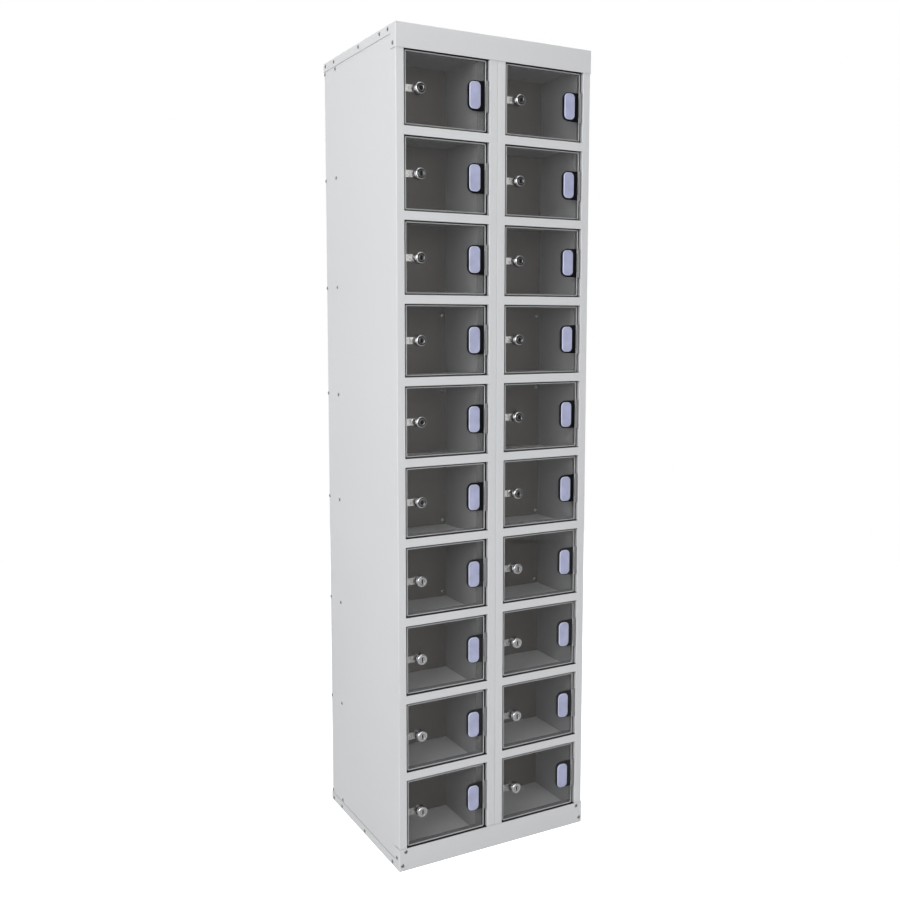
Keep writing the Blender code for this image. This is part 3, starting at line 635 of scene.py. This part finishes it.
for column, side in COLUMNS.items():
    node = "charging_rail_" + side
    low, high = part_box(node)
    rail = bmesh.new()
    nest_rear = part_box("compartment_nest_" + side)[1].y
    soft_block(rail, (low.x, nest_rear + 0.0003, low.z), high, 0.0015)
    for tag in TAGS:
        if tag[0] != column:
            continue
        left, _, floor, _, rear = compartment(tag)
        x, z = left + SOCKET_FROM_WALL, floor + SOCKET_OVER_FLOOR
        nose = socket_nose((x - SOCKET_NOSE[0] / 2, rear - SOCKET_PROUD, z - SOCKET_NOSE[1] / 2),
                           (x + SOCKET_NOSE[0] / 2, nest_rear + 0.008, z + SOCKET_NOSE[1] / 2))
        stamp(rail, to_shape("nose", nose), Matrix.Identity(4))
    finish_piece(node, rail, [rail_black, bright_steel], "root", "black_plastic", node)

# ---- doors -------------------------------------------------------------------------------------
# A 5.5 mm clear polycarbonate pane with polished, lightly frosted edges. Its hinge half is a
# black moulding behind it, clamped by screws to an oblong lilac cover plate in front.
PANE_THICKNESS = 0.0055
PANE_CORNER = 0.003
PANE_EDGE = 0.0014
KNUCKLE_TO_PANE = 0.0006
HINGE_BODY = (0.042, 0.0625, 0.0045)
HINGE_BODY_CORNER = 0.015
COVER = (0.026, 0.0555, 0.0025)
COVER_INSET = 0.0015
COVER_RIM = 0.0011
COVER_CORNER = 0.0095
DOOR_WEB = (0.002, 0.001, 0.0013)
LILAC = (0.39, 0.41, 0.58)
LILAC_RIM_HIGHLIGHT = (0.56, 0.58, 0.72)

hinge_black = surfaced("hinge_black_plastic", MOULDED,
                       {"Colour": (0.010, 0.011, 0.016, 1.0), "Roughness": 0.38, "Grain": 1300.0}, 0.000015)
cover_lilac = surfaced("cover_lilac_plastic", MOULDED,
                       {"Colour": (*LILAC, 1.0), "Roughness": 0.45, "Grain": 900.0}, 0.00001)
# Painted highlight: the cover plate's rounded front edge is the same lilac plastic, coloured lighter and
# glossier to stand in for the light it catches.
cover_rim_highlight = surfaced("cover_rim_highlight_plastic", MOULDED,
                     {"Colour": (*LILAC_RIM_HIGHLIGHT, 1.0), "Roughness": 0.3, "Grain": 900.0}, 0.000005)


def pane_material(name, tint, roughness, haze, clear):
    """Polycarbonate that lets lamps through, with a trace of wiping marks."""
    made, tree, shader, where = material(name)
    marks = noise(tree, where, 24.0, 4.0)
    tree.links.new(ranged(tree, marks, 0.45, 0.8, roughness, roughness + haze), shader.inputs["Roughness"])
    shader.inputs["Base Color"].default_value = (*tint, 1.0)
    shader.inputs["Transmission Weight"].default_value = clear
    shader.inputs["IOR"].default_value = 1.49
    lamp = add(tree, "ShaderNodeBsdfTransparent", {"Color": (*[c * 0.95 for c in tint], 1.0)})
    mix = add(tree, "ShaderNodeMixShader",
              {0: tree.nodes.new("ShaderNodeLightPath").outputs["Is Shadow Ray"],
                                            1: shader.outputs["BSDF"], 2: lamp.outputs["BSDF"]})
    tree.links.new(mix.outputs["Shader"], tree.nodes["Material Output"].inputs["Surface"])
    return made


pane_clear = pane_material("pane_clear", (0.93, 0.935, 0.94), 0.01, 0.03, 1.0)
pane_frost = pane_material("pane_polished_edge", (0.50, 0.50, 0.51), 0.34, 0.10, 0.10)


def plate_outline(bm, low, high, y, corners, radius, segments):
    """A flat plate in XZ; corners are the signs of those that are rounded."""
    face = bm.faces.new([bm.verts.new((x, y, z)) for x, z in
                         ((low[0], low[1]), (high[0], low[1]), (high[0], high[1]), (low[0], high[1]))])
    middle = face.calc_center_median()
    rounds = [v for v in face.verts
              if (math.copysign(1, v.co.x - middle.x), math.copysign(1, v.co.z - middle.z)) in corners]
    bmesh.ops.bevel(bm, geom=rounds, offset=radius, segments=segments, profile=0.5, affect="VERTICES",
                    material=-1)


def rim_edges(bm, y):
    return [e for e in bm.edges if all(abs(v.co.y - y) < 1e-6 for v in e.verts)]


ALL_CORNERS = {(-1, -1), (1, -1), (1, 1), (-1, 1)}
sample_low, sample_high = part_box("door_" + TAGS[0])
PANE_WIDTH = sample_high.x - KNUCKLE_RADIUS - sample_low.x
PANE_RIGHT = -(KNUCKLE_RADIUS + KNUCKLE_TO_PANE)
PANE_HALF = (sample_high.z - sample_low.z) / 2
PANE_FRONT, PANE_REAR = -PANE_THICKNESS / 2, PANE_THICKNESS / 2


def pane_shape():
    bm = bmesh.new()
    plate_outline(bm, (-PANE_WIDTH, -PANE_HALF), (PANE_RIGHT, PANE_HALF), PANE_FRONT, ALL_CORNERS,
                  PANE_CORNER, 4)
    deepened(bm, bm.faces[:], PANE_THICKNESS)
    rounded(bm, rim_edges(bm, PANE_FRONT) + rim_edges(bm, PANE_REAR), PANE_EDGE, 2)
    for face in bm.faces:
        face.material_index = 0 if abs(face.normal.y) > 0.99 else 1
    return to_shape("pane", bm)


body_right = PANE_RIGHT - WEB_STEP
body_left = body_right - HINGE_BODY[0]


def hinge_body_shape():
    bm = bmesh.new()
    half = HINGE_BODY[1] / 2
    plate_outline(bm, (body_left, -half), (body_right, half), PANE_REAR, {(-1, -1), (-1, 1)},
                  HINGE_BODY_CORNER, 8)
    deepened(bm, bm.faces[:], HINGE_BODY[2])
    rear = PANE_REAR + HINGE_BODY[2]
    rounded(bm, rim_edges(bm, rear), 0.0009, 3)
    for z in (-0.018, 0.018):
        stamp(bm, small_screw, facing(((body_left + body_right) / 2, rear, z), (0, 1, 0)))
    for face in bm.faces:
        if (face.calc_center_median().y > rear + 1e-5) or face.material_index:
            face.material_index += 1
    return to_shape("hinge_body", bm)


def cover_shape():
    bm = bmesh.new()
    left, half = body_left + COVER_INSET, COVER[1] / 2
    plate_outline(bm, (left, -half), (left + COVER[0], half), PANE_FRONT - COVER[2], ALL_CORNERS,
                  COVER_CORNER, 8)
    deepened(bm, bm.faces[:], COVER[2])
    # The rounded rim takes the lighter lilac painted highlight.
    for face in rounded(bm, rim_edges(bm, PANE_FRONT - COVER[2]), COVER_RIM, 3):
        face.material_index = 1
    return to_shape("cover", bm)


def door_knuckle_shape():
    bm = bmesh.new()
    stamp(bm, knuckle_shape("middle_knuckle", HINGE_MIDDLE), Matrix.Identity(4))
    into, step, behind = DOOR_WEB
    half = HINGE_MIDDLE / 2 - WEB_STEP
    soft_block(bm, (PANE_RIGHT - into, PANE_REAR - step, -half),
               (-KNUCKLE_BORE - 0.0004, PANE_REAR + behind, half), 0.0003)
    return to_shape("door_knuckle", bm)


# ---- locks -------------------------------------------------------------------------------------
# A die-cast, chromed cam lock through each pane: a round head in front, a barrel and hexagon
# nut in black zinc behind, and in it the plug with its keyway and a bright flat cam, held by a screw.
# The pane and the nut are left undrilled where the plug passes through them.
LOCK_FROM_EDGE = 0.035
LOCK_HEAD = 0.0115
LOCK_BARREL = 0.009
LOCK_BORE = 0.0059
LOCK_NUT = (0.0125, 0.0027)
PLUG_RADIUS = 0.0055
PLUG_SUNK = 0.0003
KEYWAY = (0.0032, 0.0088, 0.006)
CAM_SHEET = 0.0018
CAM_HEIGHT = 0.0145
CAM_TAIL = 0.008
CAM_ROOT_GAP = 0.0006
CAM_JOGGLE = (0.0185, 0.003)
CAM_BEHIND_RETURN = 0.0009
CAM_CORNER = 0.0022

chrome = surfaced("lock_chrome", PLATED,
                  {"Colour": (0.80, 0.80, 0.81, 1.0), "Roughness": 0.12, "Haze": 0.08},
                  0.000003, Metallic=1.0)
black_zinc = surfaced("lock_black_zinc", PLATED,
                      {"Colour": (0.05, 0.05, 0.052, 1.0), "Roughness": 0.35, "Haze": 0.15},
                      0.000004, Metallic=0.6)
head_height = -(sample_low.y - FACE_Y) + (PIN_BACK + PANE_FRONT)
LOCK_X = LOCK_FROM_EDGE - PANE_GAP - PANE_WIDTH
lock_axis = Vector((LOCK_X, PANE_FRONT, 0))
barrel_depth = PANE_THICKNESS + LOCK_NUT[1]


def lock_body_shape():
    """Heights run out of the pane's face; the barrel runs back through it to the nut's rear."""
    bm = bmesh.new()
    top = head_height
    profile = [(LOCK_BORE, -barrel_depth), (LOCK_BARREL - 0.0003, -barrel_depth),
               (LOCK_BARREL, 0.0003 - barrel_depth),
               (LOCK_BARREL, 0), (LOCK_HEAD, 0), (LOCK_HEAD, top - 0.0018),
               (LOCK_HEAD - 0.0003, top - 0.0008),
               (LOCK_HEAD - 0.0010, top - 0.0002), (LOCK_HEAD - 0.0018, top), (LOCK_BORE + 0.0006, top),
               (LOCK_BORE + 0.0001, top - 0.0003), (LOCK_BORE, top - 0.0009)]
    stamp(bm, turned("lock_head", profile, 40, closed=True), facing(lock_axis, (0, -1, 0)))
    for face in bm.faces:
        face.material_index = int(face.calc_center_median().y > PANE_FRONT + 1e-5)
    nut = bmesh.new()
    bmesh.ops.create_cone(nut, cap_ends=True, segments=6, radius1=LOCK_NUT[0], radius2=LOCK_NUT[0],
                          depth=LOCK_NUT[1])
    rounded(nut, nut.edges[:], 0.0003, 2)
    for face in nut.faces:
        face.material_index = 1
    stamp(bm, to_shape("lock_nut", nut),
          facing(lock_axis + Vector((0, PANE_THICKNESS + LOCK_NUT[1] / 2, 0)), (0, 1, 0)))
    return to_shape("lock_body", bm)


def plug_shape():
    """About the lock's axis at the frame's face: X right, Y back."""
    bm = bmesh.new()
    face_y = (sample_low.y - FACE_Y) + PLUG_SUNK
    rear_y = PIN_BACK + PANE_REAR + LOCK_NUT[1] + CAM_ROOT_GAP
    place = facing((0, (face_y + rear_y) / 2, 0), (0, -1, 0))
    bmesh.ops.create_cone(bm, cap_ends=True, segments=32, radius1=PLUG_RADIUS, radius2=PLUG_RADIUS,
                          depth=rear_y - face_y, matrix=place)
    rounded(bm, rim_edges(bm, face_y), 0.0003, 2)
    half_wide, half_tall, depth = KEYWAY[0] / 2, KEYWAY[1] / 2, KEYWAY[2]
    cut_across(bm, (1, 0, 0), (-half_wide, half_wide))
    cut_across(bm, (0, 0, 1), (-half_tall, half_tall))
    bm.normal_update()
    middle = [f for f in bm.faces if f.normal.y < -0.99 and abs(f.calc_center_median().x) < half_wide / 2
              and abs(f.calc_center_median().z) < half_tall / 2]
    # The keyway takes the second finish, near-black painted shade.
    sink(bm, middle, depth, 1)
    return to_shape("plug", bm)


def cam_shape():
    """A flat bar, joggled forward to pass behind the frame's turned-in edge, with a pan screw."""
    bm = bmesh.new()
    tip_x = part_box("lock_cam_" + TAGS[0])[0].x - (sample_low.x - PANE_GAP + LOCK_FROM_EDGE)
    tip_y = FRAME_RETURN + CAM_BEHIND_RETURN + CAM_SHEET
    root_y = PIN_BACK + PANE_REAR + LOCK_NUT[1] + CAM_ROOT_GAP + CAM_SHEET
    joggle, run = -CAM_JOGGLE[0], CAM_JOGGLE[1]
    bent_line(bm, [(tip_x, tip_y, -CAM_HEIGHT / 2), (joggle - run, tip_y, -CAM_HEIGHT / 2),
                   (joggle, root_y, -CAM_HEIGHT / 2), (CAM_TAIL, root_y, -CAM_HEIGHT / 2)], 0.0008, 2)
    raised(bm, CAM_HEIGHT)
    ends = [v for v in bm.verts if v.co.x < tip_x + 1e-6 or v.co.x > CAM_TAIL - 1e-6]
    bmesh.ops.bevel(bm, geom=ends, offset=CAM_CORNER, segments=4, profile=0.5, affect="VERTICES",
                    material=-1)
    bmesh.ops.recalc_face_normals(bm, faces=bm.faces)
    if sum(f.normal.y * f.calc_area() for f in bm.faces) > 0:
        bmesh.ops.reverse_faces(bm, faces=bm.faces)
    deepened(bm, bm.faces[:], -CAM_SHEET)
    stamp(bm, small_screw, facing((0, root_y, 0), (0, 1, 0)))
    return to_shape("cam", bm)


pane, hinge_body, cover = pane_shape(), hinge_body_shape(), cover_shape()
door_knuckle, lock_body, plug, cam = door_knuckle_shape(), lock_body_shape(), plug_shape(), cam_shape()


def stamped(name, shape, place, finishes, body, slot, *stands_for):
    bm = bmesh.new()
    stamp(bm, shape, Matrix.Translation(place))
    return finish_piece(name, bm, finishes, body, slot, *stands_for)


for tag in TAGS:
    door, lock = "door_" + tag, "lock_cam_" + tag
    pin = pin_place(tag)
    body = door + "_body"
    axis = pin + Vector((LOCK_X, -PIN_BACK, 0))
    stamped(door + "_pane", pane, pin, [pane_clear, pane_frost], body, "clear_door", door)
    stamped(door + "_hinge_body", hinge_body, pin, [hinge_black, bright_steel, recess_shade_black], body,
            "black_plastic", door)
    stamped(door + "_cover_plate", cover, pin, [cover_lilac, cover_rim_highlight], body, "clear_door", door)
    stamped(door + "_knuckle", door_knuckle, pin, [hinge_coat], body, "painted_steel", door)
    stamped(door + "_lock_body", lock_body, pin, [chrome, black_zinc], body, "lock_metal", door)
    stamped(lock + "_plug", plug, axis, [chrome, recess_shade_black], lock + "_body", "lock_metal", lock)
    stamped(lock + "_bar", cam, axis, [bright_steel, recess_shade_black], lock + "_body", "lock_metal", lock)

# ---- rivets ------------------------------------------------------------------------------------
# Aluminium blind rivets, 8.6 mm across, hold the trays' lips, the side panels and the base's
# front. Each has a domed head and the stub of its steel mandrel sunk in the middle, its hollow
# coloured near-black as painted shade.
RIVET_RADIUS = 0.0042
RIVET_STEPS = 12
CAP_LIP_RIVETS = (0.036, 0.076, 0.187, 0.328, 0.379)
BASE_LIP_RIVETS = (0.036, 0.187, 0.325, 0.376)
LIP_RIVET_INSET = 0.0086
RETURN_RIVET_BACK = 0.0126
CAP_RETURN_RIVET_DOWN = 0.040
BASE_RETURN_RIVET_UP = 0.028
FASCIA_RIVETS = ((0.0155, 0.043), (0.0075, 0.013))
PANEL_RIVET_COLUMNS = (0.323, 0.386)
PANEL_RIVETS = 8
PANEL_RIVET_END = 0.0195

rivet_alloy = surfaced("rivet_aluminium", PLATED,
                       {"Colour": (0.42, 0.42, 0.43, 1.0), "Roughness": 0.3, "Haze": 0.12},
                       0.000004, Metallic=1.0)
rivet_shape = turned("blind_rivet", [(0, -0.0002), (RIVET_RADIUS, -0.0002), (RIVET_RADIUS, 0.0002),
                                     (RIVET_RADIUS - 0.0007, 0.0007), (0.0021, 0.0011), (0.0014, 0.0011),
                                     (0.0013, 0.0002), (0, 0.0002)], RIVET_STEPS, closed=False)
# The hollow round the mandrel takes the near-black painted shade.
for polygon in rivet_shape.polygons:
    reach = max(math.hypot(*rivet_shape.vertices[v].co.xy) for v in polygon.vertices)
    if reach < 0.0015 and polygon.center.z > 0:
        polygon.material_index = 1

cap_low, cap_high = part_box("top_cap")
base_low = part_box("base_tray")[0]
panel_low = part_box("side_panel_left")[0]
cap_rivets, base_rivets, panel_rivets = bmesh.new(), bmesh.new(), bmesh.new()
for side in (-1, 1):
    outward = (side, 0, 0)
    cap_x, panel_x = side * cap_high.x, side * -panel_low.x
    for back in CAP_LIP_RIVETS:
        stamp(cap_rivets, rivet_shape,
              facing((cap_x, cap_low.y + back, cap_high.z - LIP_RIVET_INSET), outward))
    stamp(cap_rivets, rivet_shape,
          facing((cap_x, cap_low.y + RETURN_RIVET_BACK, cap_high.z - CAP_RETURN_RIVET_DOWN), outward))
    for back in BASE_LIP_RIVETS:
        stamp(base_rivets, rivet_shape, facing((cap_x, base_low.y + back, LIP_RIVET_INSET), outward))
    stamp(base_rivets, rivet_shape,
          facing((cap_x, base_low.y + RETURN_RIVET_BACK, BASE_RETURN_RIVET_UP), outward))
    for inset, up in FASCIA_RIVETS:
        stamp(base_rivets, rivet_shape, facing((side * (cap_high.x - inset), base_low.y, up), (0, -1, 0)))
    step = (cap_high.z - 2 * PANEL_RIVET_END) / (PANEL_RIVETS - 1)
    for back in PANEL_RIVET_COLUMNS:
        for number in range(PANEL_RIVETS):
            z = PANEL_RIVET_END + number * step
            covered = z < TRAY_LIP + RIVET_RADIUS or z > cap_high.z - TRAY_LIP - RIVET_RADIUS
            if covered:
                z += RIVET_RADIUS * 1.4 * (1 if number == 0 else -1)
            stamp(panel_rivets, rivet_shape, facing((panel_x, cap_low.y + back, z), outward))
for name, rivets in (("cap_rivets", cap_rivets), ("base_rivets", base_rivets),
                     ("panel_rivets", panel_rivets)):
    finish_piece(name, rivets, [rivet_alloy, recess_shade_black], "root", "lock_metal")

# ---- rear panel --------------------------------------------------------------------------------
# Three covers in the pale coat, the tall one vented, held by eighteen pan screws. Behind it are a shelf, the
# supply in a spangled steel case, the inlet and the black sheathed leads.
REAR_SCREWS = 7
REAR_SCREW_INSET = 0.007
SUPPLY_STEEL = (0.55, 0.56, 0.57)
SHEATH_BLACK = (0.014, 0.014, 0.014)

supply_case = surfaced("supply_case_steel", PLATED,
                       {"Colour": (*SUPPLY_STEEL, 1.0), "Roughness": 0.34, "Haze": 0.22}, 0.00001,
                       Metallic=0.9)
lead_sheath = surfaced("lead_sheath", MOULDED,
                       {"Colour": (*SHEATH_BLACK, 1.0), "Roughness": 0.55, "Grain": 2200.0},
                       0.00001)
for node, finish in (("rear_panel", pale_coat), ("lower_rear_panel", pale_coat), ("inlet_panel", pale_coat),
                     ("service_shelf", inner_coat), ("power_supply", supply_case),
                     ("mains_inlet", rail_black),
                     ("inlet_lead", lead_sheath), ("rail_lead_left", lead_sheath),
                     ("rail_lead_right", lead_sheath)):
    nodes[node].data.materials.clear()
    nodes[node].data.materials.append(finish)

cover_screw = pan_screw(0.0038, 0.0013)
screws = bmesh.new()
for node, edges, count in (("rear_panel", "LR", REAR_SCREWS), ("inlet_panel", "L", 2),
                           ("lower_rear_panel", "R", 2)):
    low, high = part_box(node)
    bottom, top = low.z + REAR_SCREW_INSET * 2, high.z - REAR_SCREW_INSET * 2
    for edge in edges:
        x = low.x + REAR_SCREW_INSET if edge == "L" else high.x - REAR_SCREW_INSET
        for number in range(count):
            z = bottom + number * (top - bottom) / (count - 1)
            stamp(screws, cover_screw, facing((x, high.y, z), (0, 1, 0)))
finish_piece("rear_panel_screws", screws, [bright_steel, recess_shade_black], "root", "lock_metal")

# The inlet's three flat pins stand in its recess, the earth pin above and between the others.
INLET_PIN = (0.002, 0.006)
INLET_PIN_LENGTH = 0.012
INLET_PIN_SPREAD = 0.007
INLET_EARTH_UP = 0.0035
inlet_low, inlet_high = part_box("mains_inlet")
inlet_x, inlet_z = (inlet_low.x + inlet_high.x) / 2, (inlet_low.z + inlet_high.z) / 2
pins = bmesh.new()
for x, z in ((-INLET_PIN_SPREAD, -INLET_EARTH_UP / 2), (0, INLET_EARTH_UP),
             (INLET_PIN_SPREAD, -INLET_EARTH_UP / 2)):
    middle = Vector((inlet_x + x, inlet_high.y - 0.016, inlet_z + z))
    soft_block(pins, middle - Vector((INLET_PIN[0] / 2, 0, INLET_PIN[1] / 2)),
               middle + Vector((INLET_PIN[0] / 2, INLET_PIN_LENGTH, INLET_PIN[1] / 2)), 0.0004)
finish_piece("inlet_pins", pins, [bright_steel], "root", "lock_metal")

# ---- studio ------------------------------------------------------------------------------------
# A white sweep, a large soft lamp high on the left, a weaker one in front and one overhead.
FLOOR_RADIUS = 3.4
FLOOR_GLOW = 0.9
FLOOR_MIRRORED = 0.55
LAMPS = (
    ("key", (-3.2, -1.7, 2.3), (0, 0, 0.9), 2.4, 77.0),
    ("fill", (-0.6, -3.6, 1.6), (0, 0, 0.9), 2.2, 33.0),
    ("overhead", (0.0, 0.2, 3.8), (0, 0, 0.0), 2.6, 38.0),
)
ROOM = 0.56
DARK_SIDE = Vector((0.50, -0.86, 0.02))
DARK_ROOM = 0.03

floor = bmesh.new()
bmesh.ops.create_circle(floor, cap_ends=True, segments=96, radius=FLOOR_RADIUS)
mesh = bpy.data.meshes.new("studio_floor")
floor.to_mesh(mesh)
floor.free()
floor_paint, tree, shader, where = material("studio_floor")
path = tree.nodes.new("ShaderNodeLightPath").outputs
tone = ranged(tree, noise(tree, where, 1.5, 2.0), 0.3, 0.7, 0.70, 0.72)
tone = maths(tree, "MULTIPLY", tone, ranged(tree, path["Is Glossy Ray"], 0.0, 1.0, 1.0, FLOOR_MIRRORED))
tree.links.new(add(tree, "ShaderNodeCombineColor", {0: tone, 1: tone, 2: tone}).outputs["Color"],
               shader.inputs["Base Color"])
shader.inputs["Roughness"].default_value = 0.9
shader.inputs["Emission Color"].default_value = (1, 1, 1, 1)
tree.links.new(ranged(tree, path["Is Camera Ray"], 0.0, 1.0, 0.0, FLOOR_GLOW),
               shader.inputs["Emission Strength"])
mesh.materials.append(floor_paint)
ground = bpy.data.objects.new("studio_floor", mesh)
bpy.context.scene.collection.objects.link(ground)

for name, place, target, size, power in LAMPS:
    lamp = bpy.data.lights.new(name, "AREA")
    lamp.shape = "DISK"
    lamp.size = size
    lamp.energy = power
    stand = bpy.data.objects.new(name, lamp)
    stand.location = place
    stand.rotation_euler = (Vector(target) - Vector(place)).to_track_quat("-Z", "Y").to_euler()
    bpy.context.scene.collection.objects.link(stand)

world = bpy.data.worlds.new("studio")
world.use_nodes = True
tree = world.node_tree
direction = add(tree, "ShaderNodeTexCoord", {}).outputs["Generated"]
toward = add(tree, "ShaderNodeVectorMath", {0: direction, 1: DARK_SIDE.normalized()},
             operation="DOT_PRODUCT").outputs["Value"]
room = add(tree, "ShaderNodeBackground",
           {"Color": (1, 1, 1, 1), "Strength": ranged(tree, toward, 0.70, 0.95, ROOM, DARK_ROOM)})
sweep = add(tree, "ShaderNodeBackground", {"Color": (1, 1, 1, 1), "Strength": 1.0})
path = tree.nodes.new("ShaderNodeLightPath")
seen = maths(tree, "MAXIMUM", path.outputs["Is Camera Ray"], path.outputs["Is Transmission Ray"])
mix = add(tree, "ShaderNodeMixShader",
          {0: seen, 1: room.outputs["Background"], 2: sweep.outputs["Background"]})
tree.links.new(mix.outputs["Shader"], tree.nodes["World Output"].inputs["Surface"])
bpy.context.scene.world = world

lens = bpy.data.cameras.new("camera")
lens.lens = 40.614
lens.sensor_width = 36.0
lens.shift_y = -0.03
camera = bpy.data.objects.new("camera", lens)
camera.location = (-1.13048, -2.08255, 1.18194)
camera.rotation_euler = (math.radians(90 - 5.645), 0, math.radians(-28.251))
bpy.context.scene.collection.objects.link(camera)
bpy.context.scene.camera = camera
bpy.context.scene.view_settings.view_transform = "Standard"

bpy.context.view_layer.update()
